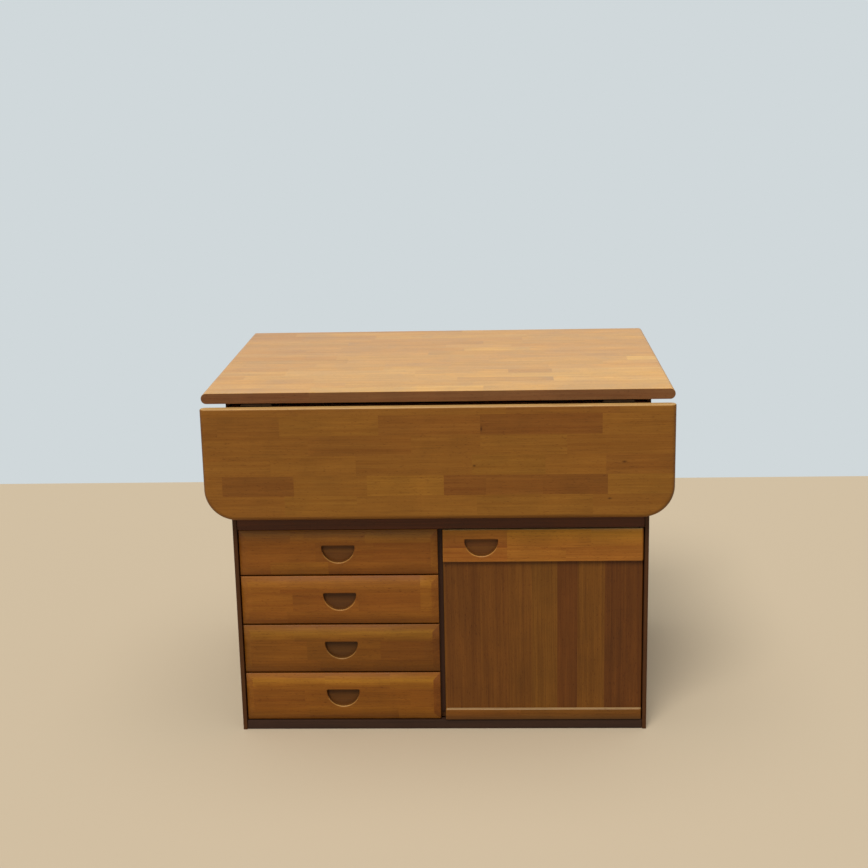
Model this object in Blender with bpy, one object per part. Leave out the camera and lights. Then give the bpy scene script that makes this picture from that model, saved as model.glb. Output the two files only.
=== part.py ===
"""Kitchen island: a laminated worktop with a drop leaf, on a dark carcass with drawers and a cupboard.

Metres. X runs along the front, Y from the front to the back and Z up from the floor. The origin is under the
middle of the whole island, with the leaf hanging.
"""
import math

import bmesh
import bpy
from mathutils import Vector

# Clearances
SEAT = 0.0003                    # between two pieces that touch
RUN = 0.0005                     # around a pin or beside a sliding piece

# Worktop and drop leaf
TOP_WIDTH = 1.100
TOP_DEPTH = 0.800
BOARD_THICKNESS = 0.025          # the top and the leaf lie flush when the leaf is up
HEIGHT = 0.860
EDGE_ROUND = 0.012               # of the free edges of the top and the leaf; their joint is square
LEAF_DROP = 0.2705               # length of the hanging leaf
LEAF_CORNER = 0.075              # radius of its two lower corners
LEAF_JOINT = 0.001               # gap to the top when the leaf is up
LEAF_SWING = 90                  # degrees

# Butt hinges under the top
HINGE_INSET = 0.130              # from the end of the top to the middle of a hinge
HINGE_WIDTH = 0.070
HINGE_FLAP = 0.045               # from the pin's axis to the end of each flap
HINGE_SHEET = 0.002
HINGE_PIN_DROP = 0.0055          # from the underside of the top to the pin's axis
HINGE_PIN_RADIUS = 0.0026
HINGE_PIN_HEAD = 0.002           # how far the pin stands out at each end
KNUCKLE_GAP = 0.0005             # between neighbouring knuckles

# Pull-out bars that hold the leaf up
BAR_INSET = 0.270                # from the end of the top to the middle of a bar
BAR_WIDTH = 0.040
BAR_THICKNESS = 0.004
BAR_LENGTH = 0.420
BAR_TRAVEL = 0.220
BAR_SETBACK = 0.006              # from the front edge of the top to the end of the bar
BAR_TOP_GAP = 0.001              # from the bar up to the underside of the top
BAR_HOLE_RADIUS = 0.010
BAR_HOLE_INSET = 0.025
GUIDE_WALL = 0.014
GUIDE_FLOOR = 0.016
GUIDE_LENGTH = 0.360

# Carcass
SIDE_OVERHANG = 0.053            # of the top over each side panel
FRONT_SETBACK = 0.025            # from the front edge of the top to the fronts
BACK_SETBACK = 0.025
SIDE_THICKNESS = 0.010
DIVIDER_THICKNESS = 0.016
BACK_THICKNESS = 0.010
BOTTOM_THICKNESS = 0.016
DECK_THICKNESS = 0.016
RAIL_THICKNESS = 0.018
RAIL_HEIGHT = 0.054
RAIL_SETBACK = 0.003             # from the fronts' faces back to the rail and the plinth
FASCIA_THICKNESS = 0.012
FASCIA_SLOT = 0.012              # open slot over the fascia for hinges and bars
TOP_RAIL_HEIGHT = 0.060
TOP_RAIL_THICKNESS = 0.020

# Drawer fronts and door
FRONT_THICKNESS = 0.020
FRONTS_BOTTOM = 0.025            # height of the lowest edge over the floor
FRONT_HEIGHT = 0.1218
UPPER_FRONT_HEIGHT = 0.1132      # of the first drawer front, which is lower than the others
FRONT_GAP = 0.004                # between two drawer fronts
SIDE_GAP = 0.002                 # from a front to the side panel
CENTRE_GAP = 0.012               # between the drawers and the door
RAIL_GAP = 0.002                 # from the fronts to the rail over them and the plinth under them
FIELD_BORDER = 0.019             # width of the sloped border of a drawer front
FIELD_RISE = 0.008               # how far the field stands out over the border's rim
PULL_WIDTH = 0.079               # finger recess: flat top, half-round below
PULL_STRAIGHT = 0.003
PULL_DEPTH = 0.012
DRAWER_PULL_DROP = 0.042         # from the front's upper edge to the recess
UPPER_PULL_DROP = 0.0385         # the same on the first drawer front
DOOR_PULL_DROP = 0.025
DOOR_PULL_INSET = 0.053          # from the door's free edge to the recess

# Drawer boxes on wooden runners
DRAWER_COUNT = 4
DRAWER_DEPTH = 0.500             # from the back of the front to the back of the box
DRAWER_TRAVEL = 0.380
DRAWER_SIDE_HEIGHT = 0.088
DRAWER_SIDE_THICKNESS = 0.012
DRAWER_FLOOR_GAP = 0.003         # from the bottom board to the lowest drawer's sides
DRAWER_SIDE_GAP = 0.0025         # from the side to the carcass
DRAWER_BACK_THICKNESS = 0.012
DRAWER_BOTTOM_THICKNESS = 0.005
DRAWER_BOTTOM_LIFT = 0.008
BOTTOM_GROOVE_DEPTH = 0.004
RUNNER_HEIGHT = 0.014
RUNNER_GROOVE_DEPTH = 0.0065
RUNNER_LIFT = 0.040              # from the side's lower edge to its groove

# Door
DOOR_TOP_RAIL = 0.081
DOOR_BOTTOM_RAIL = 0.028
DOOR_PANEL_THICKNESS = 0.009
DOOR_PANEL_RECESS = 0.009        # from the rails' faces back to the panel
DOOR_GROOVE_DEPTH = 0.009
DOOR_EDGE_ROUND = 0.006          # round-over of the hinged edge
DOOR_SWING = 105                 # degrees
DOOR_PIN_INSET = 0.010           # from the hinged edge to the pin's axis
DOOR_PIN_SETBACK = 0.009         # from the door's face to the pin's axis
DOOR_PIN_RADIUS = 0.0025
DOOR_PIN_DEPTH = 0.011           # how deep the pin sits in the door and in the carcass
CATCH_WIDTH = 0.012
CATCH_DEPTH = 0.030
CATCH_HEIGHT = 0.040
CATCH_DROP = 0.030               # from the door's upper edge to the catch

# Shelf
SHELF_THICKNESS = 0.016
SHELF_HEIGHT = 0.270
SHELF_DEPTH = 0.540
SHELF_SETBACK = 0.030            # from the back of the door to the shelf
CLEAT = 0.015                    # square section

# Places worked out from the sizes
ARC_STEPS = 10
EDGE_STEPS = 4
ROUND_SIDES = 24
LEAF_STANDOFF = LEAF_JOINT / 2 + HINGE_PIN_DROP
OVERALL_DEPTH = TOP_DEPTH + LEAF_STANDOFF + BOARD_THICKNESS
TOP_BACK = OVERALL_DEPTH / 2
TOP_FRONT = TOP_BACK - TOP_DEPTH
UNDERSIDE = HEIGHT - BOARD_THICKNESS
FACE = TOP_FRONT + FRONT_SETBACK                  # plane of the drawer fronts
FRONTS_BACK = FACE + FRONT_THICKNESS
RAIL_FRONT = FACE + RAIL_SETBACK
CARCASS_BACK = TOP_BACK - BACK_SETBACK
RAIL_BACK = RAIL_FRONT + RAIL_THICKNESS
BACK_FRONT = CARCASS_BACK - BACK_THICKNESS
BEHIND_FRONTS = max(FRONTS_BACK, RAIL_BACK) + RUN  # front of the divider and the deck
HALF_CARCASS = TOP_WIDTH / 2 - SIDE_OVERHANG
INNER = HALF_CARCASS - SIDE_THICKNESS              # inner face of the side panels
HALF_DIVIDER = DIVIDER_THICKNESS / 2
FRONT_WIDTH = INNER - SIDE_GAP - CENTRE_GAP / 2
FRONTS_TOP = FRONTS_BOTTOM + (DRAWER_COUNT - 1) * (FRONT_HEIGHT + FRONT_GAP) + UPPER_FRONT_HEIGHT
RAIL_BOTTOM = FRONTS_TOP + RAIL_GAP
RAIL_TOP = RAIL_BOTTOM + RAIL_HEIGHT
PLINTH_TOP = FRONTS_BOTTOM - RAIL_GAP
BOTTOM_TOP = PLINTH_TOP + SEAT + BOTTOM_THICKNESS
DECK_BOTTOM = RAIL_BOTTOM
DOOR_SWEEP = math.hypot(DOOR_PIN_INSET, FRONT_THICKNESS - DOOR_PIN_SETBACK)  # back corner of the hinged edge
BOTTOM_FRONT = max(BEHIND_FRONTS, FACE + DOOR_PIN_SETBACK + DOOR_SWEEP + RUN)
HINGE_AXIS = Vector((0, TOP_FRONT - LEAF_JOINT / 2, UNDERSIDE - HINGE_PIN_DROP))
DOOR_AXIS = Vector((INNER - SIDE_GAP - DOOR_PIN_INSET, FACE + DOOR_PIN_SETBACK, FRONTS_BOTTOM))


for old in list(bpy.data.objects):
    bpy.data.objects.remove(old)


def finish(name, colour, roughness, metallic=0.0):
    """A plain material."""
    result = bpy.data.materials.new(name)
    result.use_nodes = True
    shader = result.node_tree.nodes["Principled BSDF"]
    shader.inputs["Base Color"].default_value = (*colour, 1.0)
    shader.inputs["Roughness"].default_value = roughness
    shader.inputs["Metallic"].default_value = metallic
    return result


TOP_WOOD = finish("oiled_top_wood", (0.42, 0.22, 0.09), 0.45)
FRONT_WOOD = finish("lacquered_front_wood", (0.24, 0.10, 0.03), 0.40)
PANEL_WOOD = finish("dark_door_panel", (0.14, 0.05, 0.015), 0.45)
DARK_WOOD = finish("dark_stained_wood", (0.07, 0.025, 0.010), 0.50)
BOX_WOOD = finish("pale_drawer_wood", (0.50, 0.34, 0.18), 0.60)
STEEL = finish("blackened_steel", (0.10, 0.09, 0.08), 0.45, 1.0)


def empty(name, place):
    """An empty on the axis of a joint, which carries the pieces that move."""
    result = bpy.data.objects.new(name, None)
    result.location = place
    bpy.context.collection.objects.link(result)
    return result


def place(name, shape, wood, carrier=None):
    """Turn a shape in world places into an object with its origin in its middle, under its carrier."""
    bmesh.ops.recalc_face_normals(shape, faces=shape.faces)
    corners = [vertex.co for vertex in shape.verts]
    low = Vector([min(corner[axis] for corner in corners) for axis in range(3)])
    high = Vector([max(corner[axis] for corner in corners) for axis in range(3)])
    middle = (low + high) / 2
    bmesh.ops.translate(shape, verts=shape.verts, vec=-middle)
    mesh = bpy.data.meshes.new(name)
    shape.to_mesh(mesh)
    shape.free()
    mesh.materials.append(wood)
    result = bpy.data.objects.new(name, mesh)
    result.parent = carrier
    result.location = middle - carrier.location if carrier else middle
    bpy.context.collection.objects.link(result)
    return result


def box(low, high):
    """A box from its lowest to its highest corner."""
    shape = bmesh.new()
    bmesh.ops.create_cube(shape, size=1.0)
    low, high = Vector(low), Vector(high)
    bmesh.ops.scale(shape, verts=shape.verts, vec=high - low)
    bmesh.ops.translate(shape, verts=shape.verts, vec=(low + high) / 2)
    return shape


def extrusion(outline, axis, start, end):
    """An outline across an axis, extruded along it; a point's two numbers lie on the other two axes."""
    across = [other for other in range(3) if other != axis]
    shape = bmesh.new()
    vertices = []
    for point in outline:
        position = Vector((0, 0, 0))
        position[across[0]], position[across[1]], position[axis] = point[0], point[1], start
        vertices.append(shape.verts.new(position))
    face = shape.faces.new(vertices)
    travel = Vector((0, 0, 0))
    travel[axis] = end - start
    grown = bmesh.ops.extrude_face_region(shape, geom=[face])
    moved = [part for part in grown["geom"] if isinstance(part, bmesh.types.BMVert)]
    bmesh.ops.translate(shape, verts=moved, vec=travel)
    return shape


def arc(centre, radius, start, end, steps=ARC_STEPS):
    """Points on an arc, with its angles in degrees."""
    angles = [math.radians(start + (end - start) * step / steps) for step in range(steps + 1)]
    return [(centre[0] + radius * math.cos(angle), centre[1] + radius * math.sin(angle)) for angle in angles]


def circle(centre, radius):
    """Points round a full circle."""
    return arc(centre, radius, 0, 360 - 360 / ROUND_SIDES, ROUND_SIDES - 1)


def board(name, low, high, wood, carrier=None):
    """A plain board."""
    return place(name, box(low, high), wood, carrier)


def round_edges(shape, edges):
    """Round some edges of a shape over."""
    bmesh.ops.recalc_face_normals(shape, faces=shape.faces)
    bmesh.ops.bevel(shape, geom=edges, offset=EDGE_ROUND, offset_type="OFFSET", segments=EDGE_STEPS,
                    profile=0.5, affect="EDGES")


def cut(piece, cutter):
    """Cut one shape out of a piece."""
    cutter.hide_render = True
    cutter.display_type = "WIRE"
    boolean = piece.modifiers.new(cutter.name, "BOOLEAN")
    boolean.operation = "DIFFERENCE"
    boolean.object = cutter


def cut_round(piece, name, centre, radius, axis, start, end, carrier=None):
    """Cut a round hole along an axis."""
    hole = extrusion(circle(centre, radius), axis, start, end)
    cut(piece, place(name, hole, piece.data.materials[0], carrier))


# Worktop: one laminated board, square where it meets the leaf and rounded along its ends and its back.
half_top = TOP_WIDTH / 2
top_shape = box((-half_top, TOP_FRONT, UNDERSIDE), (half_top, TOP_BACK, HEIGHT))
round_edges(top_shape, [edge for edge in top_shape.edges
                        if abs(edge.verts[0].co.z - edge.verts[1].co.z) < SEAT
                        and max(corner.co.y for corner in edge.verts) > TOP_FRONT + SEAT])
place("top_board", top_shape, TOP_WOOD)

# Carcass: side panels on the floor, with the other boards between them.
panel_top = UNDERSIDE - SEAT
inside = INNER - SEAT
deck_top = DECK_BOTTOM + DECK_THICKNESS
for name, side in (("side_panel_left", -1), ("side_panel_right", 1)):
    edges = sorted((side * INNER, side * HALF_CARCASS))
    board(name, (edges[0], FACE, 0), (edges[1], CARCASS_BACK, panel_top), DARK_WOOD)
board("back_panel", (-inside, BACK_FRONT, SEAT), (inside, CARCASS_BACK, panel_top), DARK_WOOD)
plinth_rail = board("plinth_rail", (-inside, RAIL_FRONT, SEAT), (inside, RAIL_BACK, PLINTH_TOP), DARK_WOOD)
board("bottom_board", (-inside, BOTTOM_FRONT, PLINTH_TOP + SEAT),
      (inside, BACK_FRONT - SEAT, BOTTOM_TOP), DARK_WOOD)
board("centre_divider", (-HALF_DIVIDER, BEHIND_FRONTS, BOTTOM_TOP + SEAT),
      (HALF_DIVIDER, BACK_FRONT - SEAT, DECK_BOTTOM - SEAT), DARK_WOOD)
board("deck_board", (-inside, BEHIND_FRONTS, DECK_BOTTOM), (inside, BACK_FRONT - SEAT, deck_top), DARK_WOOD)
front_rail = board("front_rail", (-inside, RAIL_FRONT, RAIL_BOTTOM), (inside, RAIL_BACK, RAIL_TOP), DARK_WOOD)
board("fascia_panel", (-inside, RAIL_BACK - FASCIA_THICKNESS, RAIL_TOP + SEAT),
      (inside, RAIL_BACK, UNDERSIDE - FASCIA_SLOT), DARK_WOOD)
board("top_rail_back", (-inside, BACK_FRONT - SEAT - TOP_RAIL_THICKNESS, panel_top - TOP_RAIL_HEIGHT),
      (inside, BACK_FRONT - SEAT, panel_top), DARK_WOOD)

# Shelf on two cleats in the cupboard.
shelf_front = FRONTS_BACK + SHELF_SETBACK
shelf_back = shelf_front + SHELF_DEPTH
board("shelf_board", (HALF_DIVIDER + RUN, shelf_front, SHELF_HEIGHT),
      (INNER - RUN, shelf_back, SHELF_HEIGHT + SHELF_THICKNESS), DARK_WOOD)
for name, low, high in (("shelf_cleat_left", HALF_DIVIDER + SEAT, HALF_DIVIDER + CLEAT),
                        ("shelf_cleat_right", INNER - CLEAT, INNER - SEAT)):
    board(name, (low, shelf_front + CLEAT, SHELF_HEIGHT - SEAT - CLEAT),
          (high, shelf_back - CLEAT, SHELF_HEIGHT - SEAT), DARK_WOOD)

# Drop leaf: a laminated board with two round lower corners, hanging from its hinges, with a square joint.
leaf_axis = empty("leaf_axis", HINGE_AXIS)
leaf_back = HINGE_AXIS.y - HINGE_PIN_DROP
leaf_top = HINGE_AXIS.z - LEAF_JOINT / 2
leaf_bottom = leaf_top - LEAF_DROP
corner_x = half_top - LEAF_CORNER
corner_z = leaf_bottom + LEAF_CORNER
leaf_outline = [(-half_top, leaf_top)]
leaf_outline += arc((-corner_x, corner_z), LEAF_CORNER, 180, 270)
leaf_outline += arc((corner_x, corner_z), LEAF_CORNER, 270, 360)
leaf_outline += [(half_top, leaf_top)]
leaf_shape = extrusion(leaf_outline, 1, leaf_back - BOARD_THICKNESS, leaf_back)
round_edges(leaf_shape, [edge for edge in leaf_shape.edges
                         if abs(edge.verts[0].co.y - edge.verts[1].co.y) < SEAT
                         and min(corner.co.z for corner in edge.verts) < leaf_top - SEAT])
place("leaf_board", leaf_shape, TOP_WOOD, leaf_axis)

# Butt hinges: each flap is one sheet rolled round the pin, with its knuckles cut to mesh with the other flap.
knuckle_radius = HINGE_PIN_DROP - SEAT
bore_radius = knuckle_radius - HINGE_SHEET
flap_start = knuckle_radius + RUN
roll = arc((0, 0), knuckle_radius, 90, 345, ROUND_SIDES) + arc((0, 0), bore_radius, 345, 90, ROUND_SIDES)
flap_outline = roll + [(HINGE_FLAP, bore_radius), (HINGE_FLAP, knuckle_radius)]
fixed_outline = [(HINGE_AXIS.y + along, HINGE_AXIS.z + across) for along, across in flap_outline]
moving_outline = [(HINGE_AXIS.y - across, HINGE_AXIS.z - along) for along, across in flap_outline]
reach = 2 * HINGE_PIN_DROP
half_hinge = HINGE_WIDTH / 2
half_knuckle = HINGE_WIDTH / 6
for side_name, side in (("left", -1), ("right", 1)):
    middle = side * (TOP_WIDTH / 2 - HINGE_INSET)
    ends = (middle - half_hinge, middle + half_hinge)
    fixed = place(f"hinge_fixed_{side_name}", extrusion(fixed_outline, 0, *ends), STEEL)
    half_notch = half_knuckle + KNUCKLE_GAP
    notch = box((middle - half_notch, HINGE_AXIS.y - reach, HINGE_AXIS.z - reach),
                (middle + half_notch, HINGE_AXIS.y + flap_start, HINGE_AXIS.z + reach))
    cut(fixed, place(f"fixed_notch_{side_name}", notch, STEEL))
    moving = place(f"hinge_moving_{side_name}", extrusion(moving_outline, 0, *ends), STEEL, leaf_axis)
    for end_name, low, high in (("outer", ends[0] - reach, middle - half_knuckle),
                                ("inner", middle + half_knuckle, ends[1] + reach)):
        notch = box((low, HINGE_AXIS.y - reach, HINGE_AXIS.z - flap_start),
                    (high, HINGE_AXIS.y + reach, HINGE_AXIS.z + reach))
        cut(moving, place(f"moving_notch_{end_name}_{side_name}", notch, STEEL, leaf_axis))
    pin = extrusion(circle((HINGE_AXIS.y, HINGE_AXIS.z), HINGE_PIN_RADIUS), 0,
                    ends[0] - HINGE_PIN_HEAD, ends[1] + HINGE_PIN_HEAD)
    place(f"hinge_pin_{side_name}", pin, STEEL)

# Pull-out bars: flat steel in grooved wooden guides under the top.
bar_top = UNDERSIDE - BAR_TOP_GAP
bar_bottom = bar_top - BAR_THICKNESS
bar_front = TOP_FRONT + BAR_SETBACK
guide_top = UNDERSIDE - SEAT
groove_floor = bar_bottom - SEAT
guide_bottom = groove_floor - GUIDE_FLOOR
guide_front = RAIL_BACK + SEAT
for side_name, side in (("left", -1), ("right", 1)):
    middle = side * (TOP_WIDTH / 2 - BAR_INSET)
    half_groove = BAR_WIDTH / 2 + RUN
    half_guide = half_groove + GUIDE_WALL
    guide_outline = [(middle - half_guide, guide_bottom), (middle + half_guide, guide_bottom),
                     (middle + half_guide, guide_top), (middle + half_groove, guide_top),
                     (middle + half_groove, groove_floor), (middle - half_groove, groove_floor),
                     (middle - half_groove, guide_top), (middle - half_guide, guide_top)]
    guide = extrusion(guide_outline, 1, guide_front, guide_front + GUIDE_LENGTH)
    place(f"bar_guide_{side_name}", guide, DARK_WOOD)
    bar_axis = empty(f"bar_axis_{side_name}", (middle, bar_front, bar_top))
    bar = board(f"support_bar_{side_name}", (middle - BAR_WIDTH / 2, bar_front, bar_bottom),
                (middle + BAR_WIDTH / 2, bar_front + BAR_LENGTH, bar_top), STEEL, bar_axis)
    cut_round(bar, f"bar_hole_{side_name}", (middle, bar_front + BAR_HOLE_INSET), BAR_HOLE_RADIUS, 2,
              bar_bottom - BAR_THICKNESS, bar_top + BAR_THICKNESS, bar_axis)


def cut_pull(piece, name, middle, upper, carrier):
    """Cut a blind finger recess with a flat top and a half-round lower edge into a front."""
    radius = PULL_WIDTH / 2
    outline = arc((middle, upper - PULL_STRAIGHT), radius, 180, 360, 2 * ARC_STEPS)
    outline += [(middle + radius, upper), (middle - radius, upper)]
    recess = extrusion(outline, 1, FACE - FRONT_THICKNESS, FACE + PULL_DEPTH)
    cut(piece, place(name, recess, FRONT_WOOD, carrier))


# Drawers: a raised front on a box of four boards, hung on wooden runners in grooves of its sides.
bay_left, bay_right = -INNER, -HALF_DIVIDER
front_left = -INNER + SIDE_GAP
box_left, box_right = bay_left + DRAWER_SIDE_GAP, bay_right - DRAWER_SIDE_GAP
box_front = FRONTS_BACK + SEAT
box_back = FRONTS_BACK + DRAWER_DEPTH
back_front = box_back - DRAWER_BACK_THICKNESS
runner_reach = DRAWER_SIDE_GAP + RUNNER_GROOVE_DEPTH - RUN
side_lift = BOTTOM_TOP + DRAWER_FLOOR_GAP - FRONTS_BOTTOM


def drawer_side_outline(outer, inward, base):
    """Section of a drawer side: a runner groove in its outer face, one for the bottom in its inner face."""
    top = base + DRAWER_SIDE_HEIGHT
    groove_low = base + RUNNER_LIFT
    groove_high = groove_low + RUNNER_HEIGHT + 2 * SEAT
    slot_low = base + DRAWER_BOTTOM_LIFT
    slot_high = slot_low + DRAWER_BOTTOM_THICKNESS + 2 * SEAT
    inner = outer + inward * DRAWER_SIDE_THICKNESS
    groove = outer + inward * RUNNER_GROOVE_DEPTH
    slot = inner - inward * BOTTOM_GROOVE_DEPTH
    return [(outer, base), (outer, groove_low), (groove, groove_low), (groove, groove_high),
            (outer, groove_high), (outer, top), (inner, top), (inner, slot_high),
            (slot, slot_high), (slot, slot_low), (inner, slot_low), (inner, base)]


for number in range(1, DRAWER_COUNT + 1):
    drawer = f"drawer_{number}"
    front_bottom = FRONTS_BOTTOM + (DRAWER_COUNT - number) * (FRONT_HEIGHT + FRONT_GAP)
    front_top = front_bottom + (UPPER_FRONT_HEIGHT if number == 1 else FRONT_HEIGHT)
    slide = empty(f"{drawer}_slide", (front_left + FRONT_WIDTH / 2, FACE, front_bottom))
    shape = box((front_left, FACE + FIELD_RISE, front_bottom),
                (front_left + FRONT_WIDTH, FRONTS_BACK, front_top))
    shape.normal_update()
    face = min(shape.faces, key=lambda side: side.calc_center_median().y)
    bmesh.ops.inset_region(shape, faces=[face], thickness=FIELD_BORDER, depth=FIELD_RISE)
    front = place(f"{drawer}_front", shape, FRONT_WOOD, slide)
    pull_top = front_top - (UPPER_PULL_DROP if number == 1 else DRAWER_PULL_DROP)
    cut_pull(front, f"{drawer}_pull", front_left + FRONT_WIDTH / 2, pull_top, slide)
    base = front_bottom + side_lift
    for side_name, outer, inward in (("left", box_left, 1), ("right", box_right, -1)):
        outline = drawer_side_outline(outer, inward, base)
        place(f"{drawer}_side_{side_name}", extrusion(outline, 1, box_front, box_back), BOX_WOOD, slide)
        wall = outer - inward * DRAWER_SIDE_GAP
        ends = sorted((wall + inward * SEAT, wall + inward * runner_reach))
        runner_bottom = base + RUNNER_LIFT + SEAT
        board(f"{drawer}_runner_{side_name}", (ends[0], BEHIND_FRONTS, runner_bottom),
              (ends[1], BEHIND_FRONTS + DRAWER_DEPTH, runner_bottom + RUNNER_HEIGHT), DARK_WOOD)
    inner_left = box_left + DRAWER_SIDE_THICKNESS
    inner_right = box_right - DRAWER_SIDE_THICKNESS
    bottom_low = base + DRAWER_BOTTOM_LIFT + SEAT
    bottom_high = bottom_low + DRAWER_BOTTOM_THICKNESS
    board(f"{drawer}_bottom", (inner_left - BOTTOM_GROOVE_DEPTH + SEAT, box_front, bottom_low),
          (inner_right + BOTTOM_GROOVE_DEPTH - SEAT, box_back, bottom_high), BOX_WOOD, slide)
    board(f"{drawer}_back", (inner_left + SEAT, back_front, bottom_high + SEAT),
          (inner_right - SEAT, box_back, base + DRAWER_SIDE_HEIGHT), BOX_WOOD, slide)

# Door: a recessed panel between two grooved rails, turning on a pin at the top and one at the bottom.
door_axis = empty("door_axis", DOOR_AXIS)
door_left = CENTRE_GAP / 2
door_right = door_left + FRONT_WIDTH
panel_front = FACE + DOOR_PANEL_RECESS
panel_back = panel_front + DOOR_PANEL_THICKNESS
top_rail_bottom = FRONTS_TOP - DOOR_TOP_RAIL
bottom_rail_top = FRONTS_BOTTOM + DOOR_BOTTOM_RAIL


def door_rail(name, outer, inner, toward):
    """A door rail with a groove for the panel in its inner edge and a rounded hinged edge."""
    groove_front, groove_back = panel_front - SEAT, panel_back + SEAT
    groove_end = inner + toward * DOOR_GROOVE_DEPTH
    outline = [(FACE, outer), (FACE, inner), (groove_front, inner), (groove_front, groove_end),
               (groove_back, groove_end), (groove_back, inner), (FRONTS_BACK, inner), (FRONTS_BACK, outer)]
    rail = place(name, extrusion(outline, 0, door_left, door_right), FRONT_WOOD, door_axis)
    middle = (door_right - DOOR_EDGE_ROUND, FACE + DOOR_EDGE_ROUND)
    waste = arc(middle, DOOR_EDGE_ROUND, 270, 360)
    waste += [(door_right + RUN, middle[1]), (door_right + RUN, FACE - RUN), (middle[0], FACE - RUN)]
    low, high = sorted((outer, inner))
    cut(rail, place(f"{name}_round_over", extrusion(waste, 2, low - RUN, high + RUN), FRONT_WOOD, door_axis))
    return rail


door_top_rail = door_rail("door_top_rail", FRONTS_TOP, top_rail_bottom, 1)
door_bottom_rail = door_rail("door_bottom_rail", FRONTS_BOTTOM, bottom_rail_top, -1)
board("door_panel", (door_left, panel_front, bottom_rail_top - DOOR_GROOVE_DEPTH + SEAT),
      (door_right, panel_back, top_rail_bottom + DOOR_GROOVE_DEPTH - SEAT), PANEL_WOOD, door_axis)
door_pull_middle = door_left + DOOR_PULL_INSET + PULL_WIDTH / 2
cut_pull(door_top_rail, "door_pull", door_pull_middle, FRONTS_TOP - DOOR_PULL_DROP, door_axis)

pin_centre = (DOOR_AXIS.x, DOOR_AXIS.y)
pin_bore = DOOR_PIN_RADIUS + RUN
for end_name, door_piece, fixed_piece, door_edge, fixed_edge, outward in (
        ("top", door_top_rail, front_rail, FRONTS_TOP, RAIL_BOTTOM, 1),
        ("bottom", door_bottom_rail, plinth_rail, FRONTS_BOTTOM, PLINTH_TOP, -1)):
    ends = sorted((door_edge - outward * DOOR_PIN_DEPTH, fixed_edge + outward * DOOR_PIN_DEPTH))
    pin = extrusion(circle(pin_centre, DOOR_PIN_RADIUS), 2, *ends)
    place(f"door_pivot_pin_{end_name}", pin, STEEL)
    bore_ends = (ends[0] - SEAT, ends[1] + SEAT)
    cut_round(fixed_piece, f"fixed_bore_{end_name}", pin_centre, pin_bore, 2, *bore_ends)
    cut_round(door_piece, f"door_bore_{end_name}", pin_centre, pin_bore, 2, *bore_ends, door_axis)

catch_top = FRONTS_TOP - CATCH_DROP
board("door_catch", (HALF_DIVIDER + SEAT, FRONTS_BACK + RUN, catch_top - CATCH_HEIGHT),
      (HALF_DIVIDER + CATCH_WIDTH, FRONTS_BACK + RUN + CATCH_DEPTH, catch_top), STEEL)
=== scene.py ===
"""A kitchen island with a drop leaf, four drawers and a cupboard, dressed for its picture.

Metres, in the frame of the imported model. X runs along the front, Y from front to back, Z up.
"""
import math
import random

import bmesh
import bpy
from mathutils import Matrix, Vector


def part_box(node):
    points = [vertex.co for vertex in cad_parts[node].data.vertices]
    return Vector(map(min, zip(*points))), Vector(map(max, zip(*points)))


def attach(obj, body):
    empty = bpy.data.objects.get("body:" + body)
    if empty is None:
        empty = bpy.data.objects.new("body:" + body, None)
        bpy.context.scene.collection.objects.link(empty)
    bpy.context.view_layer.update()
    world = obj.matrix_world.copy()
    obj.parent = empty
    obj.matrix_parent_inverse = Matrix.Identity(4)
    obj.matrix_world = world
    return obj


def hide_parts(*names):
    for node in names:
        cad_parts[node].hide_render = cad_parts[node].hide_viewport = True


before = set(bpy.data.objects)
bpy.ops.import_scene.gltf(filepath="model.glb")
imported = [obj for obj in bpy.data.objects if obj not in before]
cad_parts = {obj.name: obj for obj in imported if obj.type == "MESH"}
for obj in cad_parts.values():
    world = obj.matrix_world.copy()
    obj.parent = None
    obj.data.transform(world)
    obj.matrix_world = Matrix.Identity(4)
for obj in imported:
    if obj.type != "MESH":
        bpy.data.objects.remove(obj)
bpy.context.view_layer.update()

# Carcass boards: the two side panels on the floor, the rail over the fronts, the fascia behind the leaf, the
# plinth and the back. Flat beech boards stained dark brown, dowelled and glued, their edges sanded round.
X, Y, Z = 0, 1, 2
BOARD_EASE = 0.0012


def linear(code):
    """A hex colour as the linear values that a socket takes."""
    parts = [int(code[place:place + 2], 16) / 255 for place in (0, 2, 4)]
    return [*[part / 12.92 if part <= 0.04045 else ((part + 0.055) / 1.055) ** 2.4 for part in parts], 1.0]


def add(tree, kind, inputs=None, **settings):
    """Add a node with its settings; each input is a value or another node's output."""
    node = tree.nodes.new(kind)
    for name, value in settings.items():
        setattr(node, name, value)
    for socket, value in (inputs or {}).items():
        if isinstance(value, bpy.types.NodeSocket):
            tree.links.new(value, node.inputs[socket])
        else:
            node.inputs[socket].default_value = value
    return node


# The patterns of the wood, in millimetres along the grain and across it. Fibres and ray flecks are finer
# than a picture shows, so they are drawn coarser.
STREAK = (340, 11)
GROWTH = (620, 4.5)
FIBRE = (60, 2.2)
FLECK = (9, 1.6)
SMUDGE = (130, 130)              # patches of a wiped finish
STRIP_JUMP = (0.731, 0.417, 0.913)      # metres from one strip's grain to the next one's
# The values between which a pattern or a tone takes hold.
USUAL_BAND = (0.3, 0.7)
FIGURE_BAND = (0.34, 0.66)
FLECK_BAND = (0.62, 0.74)
RUBBED_BAND = (0.42, 0.62)
PALE_BAND = (1.1, 2.0)           # the tones of a very pale strip
KNOT_BAND = (0.1, 1.0)           # from the middle of a knot to its rim
END_BAND = (0.35, 0.95)          # from a face along the grain to one across it
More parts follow.
